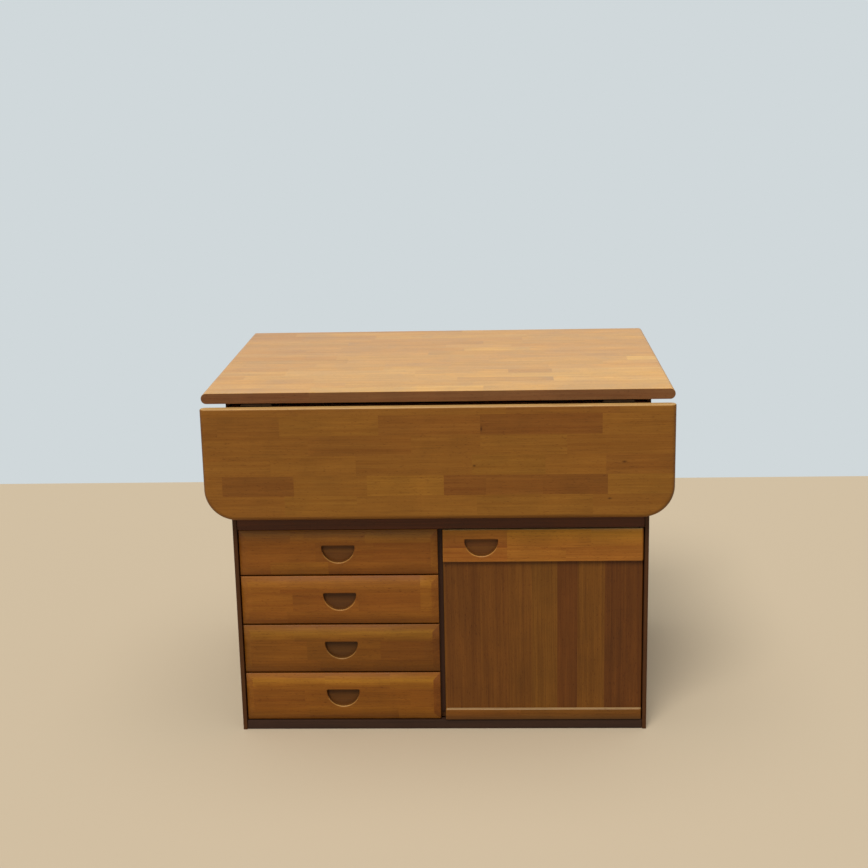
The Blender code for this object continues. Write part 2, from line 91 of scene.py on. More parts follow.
# How strong each is.
GROWTH_SHARE = 0.42              # growth lines against streaks
FIBRE_SHADE = (0.14, 0.08)       # darker and paler
SMUDGE_SHADE = 0.1
FLECK_SHADE = 0.55
FLECK_DIP = 1.5                  # how deep a fleck lies against the fibres
KNOT_SHADE = 0.7
END_SHADE = 0.7
RUBBED_SHADE = 0.35
RUBBED_DULLS = 0.3
SMUDGE_DULLS = (0.03, 0.05)      # glossier and duller than the finish
TONE_LIMIT = 2.0                 # no strip is brighter or darker than at this tone
TONE_VALUE = 0.38                # how much brighter a strip one step paler is
TONE_HUE = 0.013                 # and how far its hue turns to yellow
HUE_WANDER = 0.002               # how far chance turns the hue of a strip
PALE_FULLNESS = 0.72             # how much of its colour the palest strip keeps


def beech(name, pale, deep, along, roughness, depth, knots=()):
    """Beech under a finish: soft streaks and growth lines along the grain, and short dark flecks between.

    Strips differ in tone, ends are darker, recesses and the foot of the door are darkened by grime and
    painted shade, lit upper edges carry painted highlights, and worn edges are paler and duller. The grain
    runs along an axis, and depth says how much of it shows.
    """
    finish = bpy.data.materials.new(name)
    finish.use_nodes = True
    tree = finish.node_tree
    shader = tree.nodes["Principled BSDF"]
    place = add(tree, "ShaderNodeTexCoord")
    strip, tone, painted_highlight, worn, grime_and_shade = (
        add(tree, "ShaderNodeAttribute", attribute_name=mark).outputs["Fac"]
        for mark in ("strip", "tone", "painted_highlight", "worn", "grime_and_shade"))
    # Painted highlights raise the tone of upper slopes and edges that face the light.
    tone = add(tree, "ShaderNodeMath", {0: tone, 1: painted_highlight}, operation="ADD").outputs[0]
    start = add(tree, "ShaderNodeVectorMath", {0: strip, 1: STRIP_JUMP, 2: place.outputs["Object"]},
                operation="MULTIPLY_ADD").outputs[0]

    def grain(length, width, detail, bend):
        """A pattern drawn out along the grain, from its length and width in millimetres."""
        scale = [1000 / width] * 3
        scale[along] = 1000 / length
        drawn = add(tree, "ShaderNodeMapping", {"Vector": start, "Scale": scale}).outputs[0]
        return add(tree, "ShaderNodeTexNoise", {"Vector": drawn, "Scale": 1.0, "Detail": detail,
                                                "Roughness": 0.55, "Distortion": bend}).outputs["Fac"]

    streaks = grain(*STREAK, detail=3.0, bend=0.3)
    growth = grain(*GROWTH, detail=2.0, bend=0.6)
    fibres = grain(*FIBRE, detail=2.0, bend=0.0)
    flecks = grain(*FLECK, detail=1.0, bend=0.0)
    smudges = grain(*SMUDGE, detail=3.0, bend=0.5)

    figure = add(tree, "ShaderNodeMix", {0: GROWTH_SHARE, 2: streaks, 3: growth},
                 data_type="FLOAT").outputs[0]
    figure = add(tree, "ShaderNodeMapRange", {
        "Value": figure, "From Min": FIGURE_BAND[0], "From Max": FIGURE_BAND[1],
        "To Min": 0.5 - depth / 2, "To Max": 0.5 + depth / 2}).outputs[0]
    colour = add(tree, "ShaderNodeMix", {0: figure, 6: linear(deep), 7: linear(pale)},
                 data_type="RGBA").outputs[2]

    # Each strip comes from another plank: a dark one is redder, a pale one yellower, a very pale one dull.
    chance = add(tree, "ShaderNodeTexWhiteNoise", {"W": strip}, noise_dimensions="1D").outputs["Value"]
    wander = add(tree, "ShaderNodeMapRange", {
        "Value": chance, "To Min": 0.5 - HUE_WANDER, "To Max": 0.5 + HUE_WANDER}).outputs[0]
    hue = add(tree, "ShaderNodeMath", {0: tone, 1: TONE_HUE, 2: wander}, operation="MULTIPLY_ADD").outputs[0]
    full = add(tree, "ShaderNodeMapRange", {
        "Value": tone, "From Min": PALE_BAND[0], "From Max": PALE_BAND[1],
        "To Min": 1.0, "To Max": PALE_FULLNESS}).outputs[0]
    value = add(tree, "ShaderNodeMapRange", {
        "Value": tone, "From Min": -TONE_LIMIT, "From Max": TONE_LIMIT,
        "To Min": 1 - TONE_LIMIT * TONE_VALUE, "To Max": 1 + TONE_LIMIT * TONE_VALUE}).outputs[0]
    colour = add(tree, "ShaderNodeHueSaturation", {"Hue": hue, "Saturation": full, "Value": value,
                                                   "Color": colour}).outputs[0]

    # Fibres, smudges and flecks lie over the colour.
    fine = add(tree, "ShaderNodeMapRange", {
        "Value": fibres, "From Min": USUAL_BAND[0], "From Max": USUAL_BAND[1],
        "To Min": 1 - FIBRE_SHADE[0] * depth, "To Max": 1 + FIBRE_SHADE[1] * depth}).outputs[0]
    blotch = add(tree, "ShaderNodeMapRange", {
        "Value": smudges, "From Min": USUAL_BAND[0], "From Max": USUAL_BAND[1],
        "To Min": 1 - SMUDGE_SHADE, "To Max": 1 + SMUDGE_SHADE}).outputs[0]
    fine = add(tree, "ShaderNodeMath", {0: fine, 1: blotch}, operation="MULTIPLY").outputs[0]
    colour = add(tree, "ShaderNodeMix", {0: 1.0, 6: colour, 7: fine}, data_type="RGBA",
                 blend_type="MULTIPLY").outputs[2]
    dash = add(tree, "ShaderNodeMapRange", {
        "Value": flecks, "From Min": FLECK_BAND[0], "From Max": FLECK_BAND[1],
        "To Max": FLECK_SHADE * depth}).outputs[0]
    colour = add(tree, "ShaderNodeMix", {0: dash, 6: colour, 7: linear("9C6E55")}, data_type="RGBA",
                 blend_type="MULTIPLY").outputs[2]

    # Pin knots go right through the board, as short dark spots drawn out along the grain.
    for centre, length, height in knots:
        offset = add(tree, "ShaderNodeVectorMath", {0: place.outputs["Object"], 1: centre},
                     operation="SUBTRACT").outputs[0]
        spot = add(tree, "ShaderNodeVectorMath", {0: offset, 1: (2 / length, 0, 2 / height)},
                   operation="MULTIPLY").outputs[0]
        reach = add(tree, "ShaderNodeVectorMath", {0: spot}, operation="LENGTH").outputs["Value"]
        dark = add(tree, "ShaderNodeMapRange", {
            "Value": reach, "From Min": KNOT_BAND[0], "From Max": KNOT_BAND[1],
            "To Min": KNOT_SHADE, "To Max": 0.0}).outputs[0]
        colour = add(tree, "ShaderNodeMix", {0: dark, 6: colour, 7: linear("5B3218")}, data_type="RGBA",
                     blend_type="MULTIPLY").outputs[2]

    # End grain drinks more of the finish, so it is darker.
    axis = [0.0, 0.0, 0.0]
    axis[along] = 1.0
    facing = add(tree, "ShaderNodeVectorMath", {0: place.outputs["Normal"], 1: axis},
                 operation="DOT_PRODUCT").outputs["Value"]
    facing = add(tree, "ShaderNodeMath", {0: facing}, operation="ABSOLUTE").outputs[0]
    ends = add(tree, "ShaderNodeMapRange", {
        "Value": facing, "From Min": END_BAND[0], "From Max": END_BAND[1], "To Max": END_SHADE}).outputs[0]
    colour = add(tree, "ShaderNodeMix", {0: ends, 6: colour, 7: linear("A8866E")}, data_type="RGBA",
                 blend_type="MULTIPLY").outputs[2]

    # Grime and painted shade hide the wood, and where hands and cloths rub, the finish is thin, pale and
    # dull.
    colour = add(tree, "ShaderNodeMix", {0: grime_and_shade, 6: colour, 7: linear("2C2219")},
                 data_type="RGBA").outputs[2]
    rubbed = add(tree, "ShaderNodeMapRange", {
        "Value": smudges, "From Min": RUBBED_BAND[0], "From Max": RUBBED_BAND[1],
        "To Max": RUBBED_SHADE}).outputs[0]
    rubbed = add(tree, "ShaderNodeMath", {0: rubbed, 1: worn}, operation="MULTIPLY").outputs[0]
    colour = add(tree, "ShaderNodeMix", {0: rubbed, 6: colour, 7: linear(pale)},
                 data_type="RGBA").outputs[2]
    tree.links.new(colour, shader.inputs["Base Color"])

    dull = add(tree, "ShaderNodeMapRange", {
        "Value": smudges, "From Min": USUAL_BAND[0], "From Max": USUAL_BAND[1],
        "To Min": roughness - SMUDGE_DULLS[0], "To Max": roughness + SMUDGE_DULLS[1]}).outputs[0]
    dull = add(tree, "ShaderNodeMath", {0: rubbed, 1: RUBBED_DULLS, 2: dull},
               operation="MULTIPLY_ADD").outputs[0]
    tree.links.new(dull, shader.inputs["Roughness"])
    relief = add(tree, "ShaderNodeMath", {0: dash, 1: -FLECK_DIP, 2: fibres},
                 operation="MULTIPLY_ADD").outputs[0]
    bump = add(tree, "ShaderNodeBump", {"Strength": 0.2, "Distance": 0.0004, "Height": relief}).outputs[0]
    tree.links.new(bump, shader.inputs["Normal"])
    shader.inputs["IOR"].default_value = 1.5
    shader.inputs["Specular IOR Level"].default_value = 0.28
    return finish


TOUCH = 1e-5                     # a point nearer than this to a plane lies in it
SQUARE = 0.9                     # a face whose normal has more than this along an axis lies square to it
SMOOTH_ANGLE = 32                # degrees between two faces that are shaded as one surface
PIN_SIDES = 24
PIN_PLAY = 0.0005                # how much larger than its pin a bore is, in radius
PIN_SPARE = 0.0006               # and in depth
BORED = {"front_rail": "door_pivot_pin_top", "plinth_rail": "door_pivot_pin_bottom"}


def start_block(name, low, high):
    """A block between two corners, the start of a board; its place goes into its mesh."""
    bpy.ops.object.select_all(action="DESELECT")
    bpy.ops.mesh.primitive_cube_add(size=1, location=(low + high) / 2)
    piece = bpy.context.object
    piece.name = piece.data.name = name
    piece.scale = high - low
    bpy.ops.object.transform_apply(location=True, rotation=True, scale=True)
    return piece


def take(piece):
    """Select only this piece, for the operators that follow."""
    bpy.ops.object.select_all(action="DESELECT")
    bpy.context.view_layer.objects.active = piece
    piece.select_set(True)


def pick(kind, test):
    """In edit mode, select only the faces or edges that pass a test."""
    bpy.ops.mesh.select_mode(type=kind)
    bpy.ops.mesh.select_all(action="DESELECT")
    mesh = bpy.context.object.data
    shape = bmesh.from_edit_mesh(mesh)
    for part in shape.faces if kind == "FACE" else shape.edges:
        if test(part):
            part.select_set(True)
    bmesh.update_edit_mesh(mesh)


def round_over(width, test, steps):
    """In edit mode, round the edges that pass a test."""
    pick("EDGE", test)
    bpy.ops.mesh.bevel(offset=width, segments=steps, profile=0.5, affect="EDGES", clamp_overlap=True)


def in_plane(edge, axis, place):
    """Whether an edge lies in a plane across an axis."""
    return all(abs(vertex.co[axis] - place) < TOUCH for vertex in edge.verts)


def cut(piece, cutter):
    """Cut one shape out of a piece, and throw the cutter away."""
    take(piece)
    waste = piece.modifiers.new("waste", "BOOLEAN")
    waste.operation, waste.solver, waste.object = "DIFFERENCE", "EXACT", cutter
    bpy.ops.object.modifier_apply(modifier=waste.name)
    bpy.data.objects.remove(cutter)


def pin_bore(piece, pin):
    """Drill the hole of a pivot pin, a little wider than the pin."""
    low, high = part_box(pin)
    bpy.ops.object.select_all(action="DESELECT")
    bpy.ops.mesh.primitive_cylinder_add(vertices=PIN_SIDES, radius=(high.x - low.x) / 2 + PIN_PLAY,
                                        depth=high.z - low.z + PIN_SPARE, location=(low + high) / 2)
    cut(piece, bpy.context.object)


def smooth(piece):
    """Shade rounded edges smooth and keep the flats flat; note the faces that hands and cloths wear."""
    take(piece)
    worn = piece.data.attributes.new("worn", "FLOAT", "FACE")
    for face in piece.data.polygons:
        worn.data[face.index].value = float(max(abs(part) for part in face.normal) < SQUARE)
    bpy.ops.object.shade_smooth_by_angle(angle=math.radians(SMOOTH_ANGLE))
    weighted = piece.modifiers.new("flat_faces", "WEIGHTED_NORMAL")
    weighted.keep_sharp = True
    bpy.ops.object.modifier_apply(modifier=weighted.name)


def settle(piece, body, slot, finish, *nodes):
    """Give a piece its finish, and let it stand for its CAD nodes on their body."""
    piece.data.materials.clear()
    piece.data.materials.append(finish)
    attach(piece, body)
    if nodes:
        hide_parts(*nodes)


# The stain is thin and even, so the grain only just shows, and a low sheen lies on it. Behind the leaf it is
# painted paler and redder, painted light that lifts the deep shade there; the plinth is painted darker for
# the shade near the floor, painted shade, on a finish that feet have dulled.
upright_stain = beech("dark_stained_beech_upright", "5D3718", "41250F", Z, roughness=0.42, depth=0.8)
rail_stain = beech("dark_stained_beech_rail", "734128", "502C18", X, roughness=0.42, depth=0.8)
shade_lifting_stain = beech("dark_stained_beech_shade_lifted", "8A5028", "6E3C1B", X, roughness=0.42, depth=0.8)
plinth_shade_stain = beech("dark_stained_beech_plinth", "412A1E", "2E1D15", X, roughness=0.55, depth=0.8)
for node, stain in (("side_panel_left", upright_stain), ("side_panel_right", upright_stain),
                    ("front_rail", rail_stain), ("fascia_panel", shade_lifting_stain),
                    ("plinth_rail", plinth_shade_stain), ("back_panel", upright_stain)):
    board = start_block(f"eased_{node}", *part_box(node))
    bpy.ops.object.mode_set(mode="EDIT")
    round_over(BOARD_EASE, lambda edge: True, steps=2)
    bpy.ops.object.mode_set(mode="OBJECT")
    if node in BORED:
        pin_bore(board, BORED[node])
    smooth(board)
    settle(board, "carcass", "dark_wood", stain, node)

# Inner boards: bottom, deck, divider, back rail, shelf with its cleats, and the runners that the drawers
# hang on. The same stained beech, left as sawn and so a little duller, with the grain along each board.
lying_stain = beech("dark_stained_beech_lying", "5D3718", "41250F", X, roughness=0.5, depth=0.8)
deep_stain = beech("dark_stained_beech_runner", "5D3718", "41250F", Y, roughness=0.5, depth=0.8)
# The divider, seen in the narrow gap between the fronts and the door, is painted darker: painted shade.
divider_shade_stain = beech("dark_stained_beech_divider", "46291A", "30190E", Z, roughness=0.5, depth=0.8)


def coat(node, finish):
    """Give a CAD solid that stays in view its finish."""
    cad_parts[node].material_slots[0].material = finish


coat("centre_divider", divider_shade_stain)
for node in ("bottom_board", "deck_board", "top_rail_back", "shelf_board"):
    coat(node, lying_stain)
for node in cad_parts:
    if "_runner_" in node or "_cleat_" in node or node.startswith("bar_guide"):
        coat(node, deep_stain)

# Worktop: one board of beech strips, glued side by side and end to end, planed and lacquered. Its ends and
# its back are rounded to a bullnose; the front, which the leaf meets, is square. Screwed on from below.
BULLNOSE = 0.012
JOINT_EASE = 0.0012
STRIP_WIDTH = 0.0475
FIRST_ROW = 0.054                # the row along the front is wider
STRIP_LENGTHS = (0.16, 0.42)     # shortest and longest
STRIP_SPREAD = 0.16              # how far the tone of a strip strays
STRIP_CHANCE = 5                 # seed of the lengths and tones
RIGHT_END_LIGHT = 0.25                # painted light: the top is paler towards its right end, by this tone to the metre
WIPE_BLEACH = 0.5                # and towards its front, which is wiped most
FRONT_EDGE_SHADE = -1.68          # the square front edge is darker: a darker finish, and painted shade on a face turned from the light
FRONT_EDGE_TURN = 0.5            # a face that turns further than this to the front belongs to that edge
ROW_STEP = 11                    # strip numbers from one row to the next
# The strips of the three rows with some that stand out.
MARKED_ROWS = {
    2: [(-0.30, 0.04), (0.045, 0.10), (0.275, -0.34), (0.55, 0.12)],
    4: [(-0.38, 0.10), (-0.06, 0.30), (0.168, 0.02), (0.275, -0.30), (0.55, 0.10)],
    7: [(-0.24, -0.12), (0.12, 0.05), (0.47, 0.0), (0.55, 0.55)],
}


def glue_strips(piece, across, along, rows):
    """Saw the faces of a board into its glued strips, and give every strip its number and its tone.

    A row is its upper edge and its strips. A strip is its far end and its tone: 0 is the board's own, less
    is darker and more is paler.
    """
    take(piece)

    def saw(axis, place, test):
        """Saw the faces that pass a test, in a plane across an axis."""
        pick("FACE", test)
        point, normal = [0.0] * 3, [0.0] * 3
        point[axis], normal[axis] = place, 1.0
        bpy.ops.mesh.bisect(plane_co=point, plane_no=normal)

    bpy.ops.object.mode_set(mode="EDIT")
    for edge, _ in rows[:-1]:
        saw(across, edge, lambda face: True)
    low = -math.inf
    for edge, strips in rows:
        for end, _ in strips[:-1]:
            saw(along, end, lambda face: low < face.calc_center_median()[across] < edge)
        low = edge
    bpy.ops.object.mode_set(mode="OBJECT")
    tones = piece.data.attributes.new("tone", "FLOAT", "FACE")
    numbers = piece.data.attributes.new("strip", "FLOAT", "FACE")
    for face in piece.data.polygons:
        row = next((at for at, (edge, _) in enumerate(rows) if face.center[across] < edge), len(rows) - 1)
        strips = rows[row][1]
        column = next((at for at, (end, _) in enumerate(strips) if face.center[along] < end),
                      len(strips) - 1)
        tones.data[face.index].value = strips[column][1]
        numbers.data[face.index].value = 1 + row * ROW_STEP + column


def retone(piece, tone, test):
    """Give the faces that pass a test a tone of their own."""
    for face in piece.data.polygons:
        if test(face):
            piece.data.attributes["tone"].data[face.index].value = tone


top_low, top_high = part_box("top_board")
top = start_block("laminated_worktop", top_low, top_high)
bpy.ops.object.mode_set(mode="EDIT")
round_over(BULLNOSE, lambda edge: abs(edge.verts[0].co.z - edge.verts[1].co.z) < TOUCH
           and not in_plane(edge, Y, top_low.y), steps=7)
round_over(JOINT_EASE, lambda edge: in_plane(edge, Y, top_low.y), steps=2)
bpy.ops.object.mode_set(mode="OBJECT")
row_edges = [top_low.y + FIRST_ROW]
while row_edges[-1] < top_high.y - STRIP_WIDTH / 2:
    row_edges.append(row_edges[-1] + STRIP_WIDTH)

# The other strips come off the pile by chance, in length and tone.
dice = random.Random(STRIP_CHANCE)
shortest, longest = STRIP_LENGTHS
top_rows = []
for edge in row_edges:
    strips, end = [], top_low.x - dice.uniform(0, shortest)
    while end < top_high.x:
        end += dice.uniform(shortest, longest)
        if end > top_high.x - shortest / 2:
            end = top_high.x
        strips.append((end, dice.uniform(-STRIP_SPREAD, STRIP_SPREAD)))
    top_rows.append((edge, strips))
for row, strips in MARKED_ROWS.items():
    top_rows[row] = (row_edges[row], strips)
glue_strips(top, Y, X, [(edge, [(end, tone + RIGHT_END_LIGHT * end - WIPE_BLEACH * edge) for end, tone in strips])
                        for edge, strips in top_rows])
smooth(top)
retone(top, FRONT_EDGE_SHADE, lambda face: face.normal.y < -FRONT_EDGE_TURN)
# The top is painted paler than the leaf, as an upper face in stronger light with a sheen on it: painted
# light.
top_finish = beech("lit_pale_lacquered_beech", "D7A964", "C38C48", X, roughness=0.36, depth=0.8)
settle(top, "carcass", "laminated_top", top_finish, "top_board")

# Drop leaf: a second board of the same strips, hung on the front edge of the top by two butt hinges. Its two
# lower corners are sawn to a quarter circle, and its free edges have the bullnose of the top.
LEAF_CORNER = 0.075
LEAF_EASE = 0.0035
LEAF_EDGE_HIGHLIGHT = 1.65            # painted highlight on its upper edge, which faces the light from above
UPPER_TURN = 0.3                 # a face that turns further up than this belongs to an upper edge
leaf_low, leaf_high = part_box("leaf_board")
leaf = start_block("laminated_leaf", leaf_low, leaf_high)
bpy.ops.object.mode_set(mode="EDIT")
round_over(LEAF_CORNER, lambda edge: in_plane(edge, Z, leaf_low.z)
           and (in_plane(edge, X, leaf_low.x) or in_plane(edge, X, leaf_high.x)), steps=20)
round_over(BULLNOSE, lambda edge: abs(edge.verts[0].co.y - edge.verts[1].co.y) < TOUCH
           and not in_plane(edge, Z, leaf_high.z), steps=7)
round_over(LEAF_EASE, lambda edge: in_plane(edge, Z, leaf_high.z), steps=3)
bpy.ops.object.mode_set(mode="OBJECT")
LEAF_STRIPS = [
    (0.5706, [(-0.25, 0.05), (0.14, 0.0), (0.55, 0.08)]),
    (0.6186, [(-0.36, 0.02), (-0.19, 0.10), (0.09, 0.12), (0.36, 0.03), (0.55, 0.06)]),
    (0.6667, [(-0.505, 0.0), (-0.337, -0.42), (-0.165, 0.0), (0.014, 0.42), (0.112, -0.48), (0.244, -0.34),
              (0.394, -0.46), (0.55, 0.22)]),
    (0.7147, [(-0.39, -0.02), (-0.19, 0.05), (0.08, -0.04), (0.25, 0.14), (0.39, 0.16), (0.55, -0.16)]),
    (0.7628, [(-0.30, -0.06), (-0.06, -0.10), (0.10, -0.02), (0.30, 0.10), (0.55, -0.02)]),
    (0.8108, [(-0.51, -0.05), (-0.365, -0.18), (-0.135, 0.02), (0.10, -0.22), (0.381, -0.42), (0.55, 0.12)]),
    (0.8290, [(-0.32, 0.0), (0.16, 0.04), (0.42, -0.10), (0.55, 0.06)]),
]
glue_strips(leaf, Z, X, LEAF_STRIPS)
smooth(leaf)
retone(leaf, LEAF_EDGE_HIGHLIGHT, lambda face: face.normal.z > UPPER_TURN)
# The leaf's lacquer is honey brown. Each pin knot is its middle, its length and its height.
LEAF_KNOTS = (((0.1026, 0, 0.7765), 0.007, 0.018), ((0.0855, 0, 0.6889), 0.010, 0.008),
              ((0.4318, 0, 0.6954), 0.016, 0.008), ((0.3986, 0, 0.6073), 0.012, 0.007))
leaf_finish = beech("lacquered_beech_leaf", "A16D2A", "8D591E", X, roughness=0.40, depth=0.8,
                    knots=LEAF_KNOTS)
settle(leaf, "leaf", "laminated_top", leaf_finish, "leaf_board")

# Hinges and pins: two butt hinges of rolled steel sheet under the top, the door's two pivot pins and its
# magnet catch. Blackened in hot oil, so a cloudy brown-black metal, scratched bright here and there.
HINGE_SHEET = 0.002              # thickness of a flap
MOTTLE = 14                      # millimetres across the clouds in the black
SCRATCH = (22, 0.9)              # millimetres along a scratch and across it
SCRATCH_BAND = (0.66, 0.78)
SCRATCH_SHADE = 0.4
STEEL_DULL = (0.46, 0.64)        # roughness from the smoothest place to the roughest


def black_steel(name, along):
    """Steel blackened in oil: dark clouds, and fine paler scratches along the rolled sheet."""
    plating = bpy.data.materials.new(name)
    plating.use_nodes = True
    tree = plating.node_tree
    shader = tree.nodes["Principled BSDF"]
    place = add(tree, "ShaderNodeTexCoord").outputs["Object"]
    cloud = add(tree, "ShaderNodeTexNoise", {"Vector": place, "Scale": 1000 / MOTTLE, "Detail": 4.0,
                                             "Distortion": 0.8}).outputs["Fac"]
    scale = [1000 / SCRATCH[1]] * 3
    scale[along] = 1000 / SCRATCH[0]
    drawn = add(tree, "ShaderNodeMapping", {"Vector": place, "Scale": scale}).outputs[0]
    scratch = add(tree, "ShaderNodeTexNoise", {"Vector": drawn, "Scale": 1.0, "Detail": 2.0}).outputs["Fac"]
    colour = add(tree, "ShaderNodeMix", {0: cloud, 6: linear("130F0B"), 7: linear("2A1D12")},
                 data_type="RGBA").outputs[2]
    bare = add(tree, "ShaderNodeMapRange", {
        "Value": scratch, "From Min": SCRATCH_BAND[0], "From Max": SCRATCH_BAND[1],
        "To Max": SCRATCH_SHADE}).outputs[0]
    colour = add(tree, "ShaderNodeMix", {0: bare, 6: colour, 7: linear("5C4C3A")},
                 data_type="RGBA").outputs[2]
    tree.links.new(colour, shader.inputs["Base Color"])
    dull = add(tree, "ShaderNodeMapRange", {
        "Value": scratch, "From Min": USUAL_BAND[0], "From Max": USUAL_BAND[1],
        "To Min": STEEL_DULL[0], "To Max": STEEL_DULL[1]}).outputs[0]
    tree.links.new(dull, shader.inputs["Roughness"])
    bump = add(tree, "ShaderNodeBump", {"Strength": 0.15, "Distance": 0.0002, "Height": scratch}).outputs[0]
    tree.links.new(bump, shader.inputs["Normal"])
    shader.inputs["Metallic"].default_value = 1.0
    shader.inputs["Specular Tint"].default_value = linear("3A3024")
    return plating


hinge_black = black_steel("blackened_steel_hinge", X)
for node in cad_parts:
    if node.startswith(("hinge_", "door_pivot_pin", "door_catch")):
        coat(node, hinge_black)

# Screws: brown-black countersunk heads with a cross, three in each hinge flap and eleven in the back panel.
# Turned and pressed steel, driven nearly flush with the sheet or the board.
HEAD_SIDES = 24
HEAD_RADIUS = 0.0034
HEAD_HEIGHT = 0.0010
HEAD_PROUD = 0.0005              # how far a head stands out
HEAD_ROUND = 0.0003
HEAD_TURN = 0.7                  # radians from the cross of one screw to the next
CROSS_LENGTH, CROSS_WIDTH, CROSS_DEPTH = 0.0040, 0.0008, 0.0006
FLAP_SEATS = ((-0.024, 0.012), (0.0, 0.026), (0.024, 0.012))    # across, and in from a flap's free edge
BACK_SHARES = (0.03, 0.34, 0.66, 0.97)  # of the back panel's width, along its upper and lower edge
BACK_INSET = 0.012
DIVIDER_HEIGHTS = (0.2, 0.35, 0.5)      # of the screws up the middle, into the divider
DOWN, BACKWARD = Vector((0, 0, -1)), Vector((0, 1, 0))
bpy.ops.object.select_all(action="DESELECT")
bpy.ops.mesh.primitive_cylinder_add(vertices=HEAD_SIDES, radius=HEAD_RADIUS, depth=HEAD_HEIGHT,
                                    location=(0, 0, HEAD_PROUD - HEAD_HEIGHT / 2))
screw = bpy.context.object
bpy.ops.object.transform_apply(location=True, rotation=True, scale=True)
bpy.ops.object.mode_set(mode="EDIT")
round_over(HEAD_ROUND, lambda edge: in_plane(edge, Z, HEAD_PROUD), steps=2)
bpy.ops.object.mode_set(mode="OBJECT")
face_middle = Vector((0, 0, HEAD_PROUD))
for length, width in ((CROSS_LENGTH, CROSS_WIDTH), (CROSS_WIDTH, CROSS_LENGTH)):
    half = Vector((length / 2, width / 2, CROSS_DEPTH))
    cut(screw, start_block("cross_waste", face_middle - half, face_middle + half))
seats = []                       # place, outward direction and body of every screw
for side in ("left", "right"):
    low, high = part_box(f"hinge_fixed_{side}")
    for across, inward in FLAP_SEATS:
        place = Vector(((low.x + high.x) / 2 + across, high.y - inward, high.z - HINGE_SHEET))
        seats.append((place, DOWN, "carcass"))
    low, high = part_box(f"hinge_moving_{side}")
    for across, inward in FLAP_SEATS:
        place = Vector(((low.x + high.x) / 2 + across, low.y + HINGE_SHEET, low.z + inward))
        seats.append((place, BACKWARD, "leaf"))
low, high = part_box("back_panel")
for share in BACK_SHARES:
    for height in (low.z + BACK_INSET, high.z - BACK_INSET):
        place = Vector((low.x + share * (high.x - low.x), high.y, height))
        seats.append((place, BACKWARD, "carcass"))
for height in DIVIDER_HEIGHTS:
    seats.append((Vector((0.0, high.y, height)), BACKWARD, "carcass"))
for number, (place, outward, body) in enumerate(seats, 1):
    head = bpy.data.objects.new(f"screw_head_{number}", screw.data.copy())
    bpy.context.collection.objects.link(head)
    facing = outward.to_track_quat("Z", "Y").to_matrix().to_4x4()
    turn = Matrix.Rotation(number * HEAD_TURN, 4, "Z")
    head.data.transform(Matrix.Translation(place) @ facing @ turn)
    smooth(head)
    settle(head, body, "steel", hinge_black)
bpy.data.objects.remove(screw)

# Pull-out bars: two flat steel bars in grooved guides under the top, drawn out to hold the raised leaf.
# Rolled steel, blackened like the hinges, scratched along its length by the guides.
bar_black = black_steel("blackened_steel_bar", Y)
for node in ("support_bar_left", "support_bar_right"):
    coat(node, bar_black)

# Drawer boxes: two grooved sides, a back and a thin bottom, glued, and hung on the runners by their grooves.
# Planed birch left without a finish, so it is pale and dull, with a faint grain.
side_birch = beech("bare_birch_side", "D9BC8C", "C7A673", Y, roughness=0.62, depth=0.6)
cross_birch = beech("bare_birch_cross", "D9BC8C", "C7A673", X, roughness=0.62, depth=0.6)
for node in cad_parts:
    if node.startswith("drawer_") and node.endswith(("_side_left", "_side_right")):
        coat(node, side_birch)
    elif node.startswith("drawer_") and node.endswith(("_bottom", "_back")):
        coat(node, cross_birch)

# Drawer fronts: glued beech strips with a raised field, a sloped border round it, and a half-round finger
# recess milled into the middle, its rim rounded by hand. Screwed to the box from inside.
FIELD_BORDER = 0.019             # width of the slope
FIELD_RISE = 0.008
FIELD_SOFTEN = 0.010             # width of the soft turn from the field to the slope
FRONT_EASE = 0.0012
PULL_SIDES = 64
PULL_WIDTH = 0.079
PULL_STRAIGHT = 0.003            # height of the upright ends over the half round
PULL_DEPTH = 0.012
PULL_CORNER = 0.004
PULL_RIM = 0.003
PULL_DROP = {1: 0.0385, 2: 0.042, 3: 0.042, 4: 0.042}   # from a front's upper edge to its recess
PULL_GRIME_AND_SHADE = {1: 0.42, 2: 0.64, 3: 0.52, 4: 0.52}        # how much of the wood grime and painted shade in it hide
RIM_HIGHLIGHT = 1.35                  # painted highlight on the lower rim, which faces up into the light
RIM_TURN = 0.25                  # a face that turns further up than this belongs to the lower rim


def mill_pull(piece, middle, upper, face):
    """Mill a blind recess, flat at the top and half round below, and round its rim."""
    radius = PULL_WIDTH / 2
    level = upper - PULL_STRAIGHT
    near = 10 * TOUCH
    bpy.ops.object.select_all(action="DESELECT")
    bpy.ops.mesh.primitive_cylinder_add(vertices=PULL_SIDES, radius=radius, depth=2 * PULL_DEPTH,
                                        location=(middle, face, level), rotation=(math.pi / 2, 0, 0))
    cutter = bpy.context.object
    bpy.ops.object.transform_apply(location=True, rotation=True, scale=True)
    bpy.ops.object.mode_set(mode="EDIT")
    bpy.ops.mesh.select_all(action="SELECT")
    bpy.ops.mesh.bisect(plane_co=(middle, face, level), plane_no=(0, 0, 1), use_fill=True, clear_outer=True)
    pick("FACE", lambda part: part.normal.z > SQUARE and part.calc_center_median().z > level - TOUCH)
    bpy.ops.mesh.extrude_region_move(TRANSFORM_OT_translate={"value": (0, 0, PULL_STRAIGHT)})
    round_over(PULL_CORNER, lambda edge: in_plane(edge, Z, upper)
               and (in_plane(edge, X, middle - radius) or in_plane(edge, X, middle + radius)), steps=4)
    bpy.ops.object.mode_set(mode="OBJECT")
    cut(piece, cutter)
    bpy.ops.object.mode_set(mode="EDIT")
    round_over(PULL_RIM, lambda edge: in_plane(edge, Y, face)
               and all(abs(corner.co.x - middle) < radius + near
                       and level - radius - near < corner.co.z < upper + near
                       for corner in edge.verts), steps=4)
    bpy.ops.object.mode_set(mode="OBJECT")


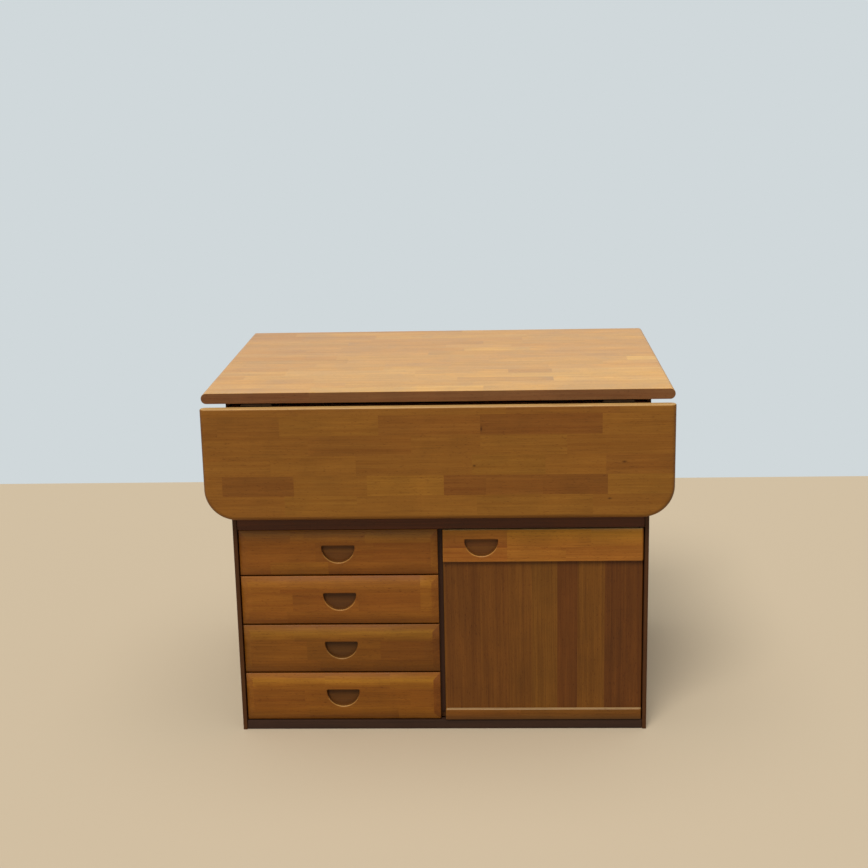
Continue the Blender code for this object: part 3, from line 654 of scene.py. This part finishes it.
def darken_pull_light_rim(piece, middle, upper, face, recess_darkness):
    """Darken a recess inside with grime and painted shade, and give its lower rim a painted highlight."""
    radius = PULL_WIDTH / 2
    lowest = upper - PULL_STRAIGHT - radius
    grime_and_shade = piece.data.attributes.new("grime_and_shade", "FLOAT", "FACE")
    for part in piece.data.polygons:
        across, back, height = part.center
        inside = abs(across - middle) < radius and lowest < height < upper and back > face + PULL_RIM / 2
        grime_and_shade.data[part.index].value = recess_darkness if inside else 0.0
    retone(piece, RIM_HIGHLIGHT, lambda part: part.normal.z > RIM_TURN and face < part.center.y < face + PULL_RIM
           and abs(part.center.x - middle) < radius + PULL_RIM and part.center.z < upper)


def raise_field(node, pull_drop):
    """A front with its raised field, the sloped border round it and its recess."""
    low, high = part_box(node)
    piece = start_block(f"raised_{node}", low + Vector((0, FIELD_RISE, 0)), high)
    bpy.ops.object.mode_set(mode="EDIT")
    pick("FACE", lambda part: part.normal.y < -SQUARE)
    bpy.ops.mesh.inset(thickness=FIELD_BORDER, depth=FIELD_RISE)
    round_over(FIELD_SOFTEN, lambda edge: in_plane(edge, Y, low.y), steps=5)
    round_over(FRONT_EASE, lambda edge: in_plane(edge, Y, low.y + FIELD_RISE), steps=2)
    bpy.ops.object.mode_set(mode="OBJECT")
    mill_pull(piece, (low.x + high.x) / 2, high.z - pull_drop, low.y)
    return piece


# The first front is lower than the other three, which are alike.
fronts = {number: raise_field(f"drawer_{number}_front", PULL_DROP[number]) for number in (1, 2)}
for number in (3, 4):
    name = f"raised_drawer_{number}_front"
    fronts[number] = bpy.data.objects.new(name, fronts[2].data.copy())
    fronts[number].data.name = name
    bpy.context.collection.objects.link(fronts[number])
    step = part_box(f"drawer_{number}_front")[0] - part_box("drawer_2_front")[0]
    fronts[number].data.transform(Matrix.Translation(step))

# Honey-brown lacquer. Each front was sawn from another board, the third from the darkest. The slope along
# the top of each carries a painted highlight where light from above falls on it, and the slopes at its two
# ends are painted lighter or darker by how light from the left falls on them: painted light and shade.
FRONT_COLOURS = {1: ("A46825", "8E531A"), 2: ("A36724", "8D5219"),
                 3: ("8E591D", "7A4713"), 4: ("9D6320", "874E16")}
# How strong the painted highlight is, and where below the upper edge it starts, is strongest and ends.
SLOPE_HIGHLIGHTS = {1: (0.8, (-0.004, 0.008, 0.030)), 2: (0.45, (0.001, 0.015, 0.032)),
          3: (1.0, (0.003, 0.017, 0.040)), 4: (1.12, (0.001, 0.016, 0.034))}
# Painted light and shade on the two end slopes of each front, left then right.
END_SLOPE_LIGHTING = {1: (0.05, 0.10), 2: (0.22, -0.10), 3: (0.32, -0.35), 4: (0.18, -0.45)}
END_TURN = 0.2                   # a face that turns further than this to an end belongs to the end slope
LOWER_ROW = 0.034                # height of the lowest strips
# The strips of each front from the lower row to the upper one.
FRONT_STRIPS = {
    1: ([(-0.41, 0.0), (-0.27, 0.22), (0.0, -0.20)],
        [(-0.30, 0.06), (-0.16, -0.18), (0.0, -0.18)],
        [(-0.36, 0.0), (-0.18, 0.05), (0.0, 0.15)]),
    2: ([(-0.375, 0.02), (-0.10, -0.10), (0.0, 0.06)],
        [(-0.36, 0.22), (-0.20, -0.22), (-0.05, -0.16), (0.0, 0.18)],
        [(-0.39, 0.18), (-0.05, -0.10), (0.0, 0.20)]),
    3: ([(-0.30, 0.08), (0.0, -0.12)],
        [(-0.33, 0.18), (-0.15, 0.02), (0.0, -0.18)],
        [(-0.36, 0.12), (-0.14, 0.04), (0.0, 0.05)]),
    4: ([(-0.33, 0.16), (-0.11, 0.06), (0.0, 0.16)],
        [(-0.34, 0.02), (-0.08, -0.08), (0.0, -0.04)],
        [(-0.29, 0.04), (-0.13, -0.04), (0.0, 0.02)]),
}


def paint_highlight(piece, tone, edge, reaches):
    """Paint a highlight below an upper edge, softly, from where it starts over its peak to its end: painted
    light.
    """
    start, peak, end = (edge - reach for reach in reaches)
    painted_highlight = piece.data.attributes.new("painted_highlight", "FLOAT", "CORNER")
    for face in piece.data.polygons:
        if abs(face.normal.x) > END_TURN:
            continue
        for corner in face.loop_indices:
            height = piece.data.vertices[piece.data.loops[corner].vertex_index].co.z
            share = (start - height) / (start - peak) if height > peak else (height - end) / (peak - end)
            painted_highlight.data[corner].value = tone * max(share, 0.0)


for number, front in fronts.items():
    low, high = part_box(f"drawer_{number}_front")
    edges = (low.z + LOWER_ROW, low.z + LOWER_ROW + STRIP_WIDTH, high.z)
    glue_strips(front, Z, X, list(zip(edges, FRONT_STRIPS[number])))
    smooth(front)
    highlight, reaches = SLOPE_HIGHLIGHTS[number]
    paint_highlight(front, highlight, high.z, reaches)
    left_lighting, right_lighting = END_SLOPE_LIGHTING[number]
    retone(front, left_lighting, lambda face: -SQUARE < face.normal.x < -END_TURN
           and face.center.x < low.x + FIELD_BORDER + FIELD_SOFTEN)
    retone(front, right_lighting, lambda face: END_TURN < face.normal.x < SQUARE
           and face.center.x > high.x - FIELD_BORDER - FIELD_SOFTEN)
    darken_pull_light_rim(front, (low.x + high.x) / 2, high.z - PULL_DROP[number], low.y, PULL_GRIME_AND_SHADE[number])
    finish = beech(f"lacquered_beech_front_{number}", *FRONT_COLOURS[number], X, roughness=0.38, depth=0.9)
    settle(front, f"drawer_{number}", "front_wood", finish, f"drawer_{number}_front")

# Door: two beech rails with a groove, a thin panel of upright strips between them, and a pin at the top and
# the bottom of the hinged side. The upper rail has the same finger recess as the drawers.
DOOR_HINGED_ROUND = 0.006
DOOR_FREE_ROUND = 0.003
DOOR_EASE = 0.0012
GROOVE_PLAY = Vector((0.002, 0.0003, 0.0003))   # how much larger than the panel its groove is, all round
DOOR_PULL_DROP = 0.025           # from the upper edge to the recess
DOOR_PULL_INSET = 0.053          # and from the free edge
# How much of the door's recess grime and painted shade hide.
DOOR_PULL_GRIME_AND_SHADE = 0.56
RAIL_ROW = 0.0355                # height of the upper rail's lower strips
LEDGE_HIGHLIGHT = 1.9                 # painted highlight on the upper edges, which face the light from above
FREE_EDGE_HIGHLIGHT = 0.8             # and on the upright free edge, where light from the left catches it
EDGE_REACH = 0.01                # how far in from its edge such a face lies
RAIL_HIGHLIGHT = 1.2                  # painted highlight along the upper rail's upper edge, where the leaf's shadow falls
RAIL_REACHES = (-0.001, 0.0, 0.0455)
SILL_SHADE_HEIGHT = 0.016                # how high painted shade reaches up the lower rail from its bottom edge
SILL_SHADE = 0.6                  # how much of the wood's colour the painted shade hides at the very bottom
panel_low, panel_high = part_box("door_panel")
# The upper rail is painted paler and more golden than the fronts, painted light that lifts the leaf's shade
# on it, and the lower one a darker brown.
upper_finish = beech("lacquered_beech_upper_rail", "C28032", "A86624", X, roughness=0.38, depth=0.9)
lower_finish = beech("lacquered_beech_lower_rail", "8A5921", "764615", X, roughness=0.38, depth=0.9)
for node, pin, upper_ease, finish in (("door_top_rail", "door_pivot_pin_top", 0.002, upper_finish),
                                      ("door_bottom_rail", "door_pivot_pin_bottom", 0.003, lower_finish)):
    low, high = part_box(node)
    pull = (low.x + DOOR_PULL_INSET + PULL_WIDTH / 2, high.z - DOOR_PULL_DROP, low.y)
    rail = start_block(f"grooved_{node}", low, high)
    bpy.ops.object.mode_set(mode="EDIT")
    round_over(DOOR_HINGED_ROUND, lambda edge: in_plane(edge, X, high.x) and in_plane(edge, Y, low.y),
               steps=5)
    round_over(DOOR_FREE_ROUND, lambda edge: in_plane(edge, X, low.x) and in_plane(edge, Y, low.y), steps=4)
    round_over(DOOR_EASE, lambda edge: in_plane(edge, Z, low.z), steps=2)
    round_over(upper_ease, lambda edge: in_plane(edge, Z, high.z), steps=3)
    bpy.ops.object.mode_set(mode="OBJECT")
    cut(rail, start_block("groove_waste", panel_low - GROOVE_PLAY, panel_high + GROOVE_PLAY))
    pin_bore(rail, pin)
    if node == "door_top_rail":
        mill_pull(rail, *pull)
        glue_strips(rail, Z, X, [(low.z + RAIL_ROW, [(0.16, -0.10), (0.30, 0.02), (high.x, -0.16)]),
                                 (high.z, [(0.16, -0.55), (0.36, -0.05), (high.x, 0.12)])])
        paint_highlight(rail, RAIL_HIGHLIGHT, high.z, RAIL_REACHES)
    else:
        glue_strips(rail, Z, X, [(high.z, [(0.19, 0.0), (high.x, -0.05)])])
        bpy.ops.object.mode_set(mode="EDIT")
        pick("FACE", lambda face: True)
        bpy.ops.mesh.bisect(plane_co=(0, 0, low.z + SILL_SHADE_HEIGHT), plane_no=(0, 0, 1))
        bpy.ops.object.mode_set(mode="OBJECT")
        grime_and_shade = rail.data.attributes.new("grime_and_shade", "FLOAT", "POINT")
        for corner in rail.data.vertices:
            grime_and_shade.data[corner.index].value = SILL_SHADE * max(1 - (corner.co.z - low.z) / SILL_SHADE_HEIGHT, 0.0)
    smooth(rail)
    retone(rail, LEDGE_HIGHLIGHT, lambda face: face.normal.z > UPPER_TURN
           and face.center.z > high.z - EDGE_REACH)
    retone(rail, FREE_EDGE_HIGHLIGHT, lambda face: -SQUARE < face.normal.x < -END_TURN
           and face.center.x < low.x + EDGE_REACH)
    if node == "door_top_rail":
        darken_pull_light_rim(rail, *pull, DOOR_PULL_GRIME_AND_SHADE)
    settle(rail, "door", "front_wood", finish, node)

# The panel's strips stand upright, reddish and olive brown by turns, under a darker lacquer. Each is its
# right edge and its tone.
PANEL_STRIPS = ((0.0428, 0.0), (0.0943, 0.0), (0.1630, 0.04), (0.2185, 0.18), (0.2801, 0.44),
                (0.3285, -0.34), (0.3941, 0.37), (0.4376, -0.57), (panel_high.x, -0.36))
panel = start_block("strip_door_panel", panel_low, panel_high)
bpy.ops.object.mode_set(mode="EDIT")
for side in (panel_low.x, panel_high.x):
    round_over(DOOR_FREE_ROUND, lambda edge: in_plane(edge, Y, panel_low.y) and in_plane(edge, X, side),
               steps=4)
bpy.ops.object.mode_set(mode="OBJECT")
glue_strips(panel, X, Z, [(edge, [(panel_high.z, tone)]) for edge, tone in PANEL_STRIPS])
smooth(panel)
retone(panel, FREE_EDGE_HIGHLIGHT, lambda face: -SQUARE < face.normal.x < -END_TURN)
panel_finish = beech("dark_lacquered_beech_panel", "7F4F1D", "673C14", Z, roughness=0.42, depth=0.9)
settle(panel, "door", "panel_wood", panel_finish, "door_panel")

# Studio: a plain pale floor that ends well behind the island, a broad soft light from the front and above, a
# still softer one overhead, and a pale surround.
FLOOR_SIDE = 14                  # from the middle to the left, the right and the front
FLOOR_BACK = 1.883               # and to the back
# The strength of each light, its spread in degrees, and the way it travels.
LIGHTS = (("key_softbox", 2.0, 28, (0.2, 0.75, -1.05)),
          ("overhead_softbox", 1.35, 60, (0.0, 0.0, -1.0)))
SURROUND_LIGHT = 0.25            # how strongly the surround lights the island


def seen_plainly(tree):
    """1 where a surface is seen itself or in a mirror, 0 where it only lights other things."""
    rays = add(tree, "ShaderNodeLightPath").outputs
    seen = add(tree, "ShaderNodeMath", {0: rays["Is Camera Ray"], 1: rays["Is Glossy Ray"]},
               operation="MAXIMUM").outputs[0]
    return add(tree, "ShaderNodeMath", {0: seen, 1: rays["Is Transmission Ray"]},
               operation="MAXIMUM").outputs[0]


bpy.ops.object.select_all(action="DESELECT")
bpy.ops.mesh.primitive_plane_add(size=1, location=(0, (FLOOR_BACK - FLOOR_SIDE) / 2, 0))
floor = bpy.context.object
floor.name = "studio_floor"
floor.scale = (2 * FLOOR_SIDE, FLOOR_BACK + FLOOR_SIDE, 1)
bpy.ops.object.transform_apply(location=True, rotation=True, scale=True)
paint = bpy.data.materials.new("matt_pale_floor_paint")
paint.use_nodes = True
tree = paint.node_tree
shader = tree.nodes["Principled BSDF"]
floor_colour = add(tree, "ShaderNodeMix", {
    0: seen_plainly(tree), 6: linear("8E7F69"), 7: linear("C9BCA6")}, data_type="RGBA").outputs[2]
tree.links.new(floor_colour, shader.inputs["Base Color"])
shader.inputs["Roughness"].default_value = 0.9
shader.inputs["Specular IOR Level"].default_value = 0.1
floor.data.materials.append(paint)

for name, strength, spread, travel in LIGHTS:
    light = bpy.data.lights.new(name, "SUN")
    light.energy = strength
    light.angle = math.radians(spread)
    light.color = linear("FFF6EA")[:3]
    lamp = bpy.data.objects.new(name, light)
    lamp.rotation_euler = Vector(travel).to_track_quat("-Z", "Y").to_euler()
    bpy.context.collection.objects.link(lamp)

scene = bpy.context.scene
scene.world = bpy.data.worlds.new("pale_surround")
scene.world.use_nodes = True
tree = scene.world.node_tree
sky = tree.nodes["Background"]
sky.inputs["Color"].default_value = linear("D0D8DB")
level = add(tree, "ShaderNodeMapRange", {
    "Value": seen_plainly(tree), "To Min": SURROUND_LIGHT, "To Max": 1.0}).outputs[0]
tree.links.new(level, sky.inputs["Strength"])
scene.view_settings.view_transform = "Standard"

# Camera: at eye height, a little to the right of the middle, tilted down, with a slight turn and roll. Its
# place, angles and lens are the ones that bring the island's edges where the photograph has them.
CAMERA_PLACE = (0.13495, -3.72298, 1.59841)
CAMERA_TURN = -0.04273           # radians
CAMERA_TILT = 0.24644
CAMERA_ROLL = 0.02088
CAMERA_SENSOR = 36               # millimetres
CAMERA_LENS = 61.394
camera = bpy.data.objects.new("camera", bpy.data.cameras.new("camera"))
camera.data.sensor_width = CAMERA_SENSOR
camera.data.lens = CAMERA_LENS
camera.matrix_world = (Matrix.Translation(CAMERA_PLACE) @ Matrix.Rotation(-CAMERA_TURN, 4, "Z")
                       @ Matrix.Rotation(math.pi / 2 - CAMERA_TILT, 4, "X")
                       @ Matrix.Rotation(-CAMERA_ROLL, 4, "Z"))
bpy.context.collection.objects.link(camera)
scene.camera = camera
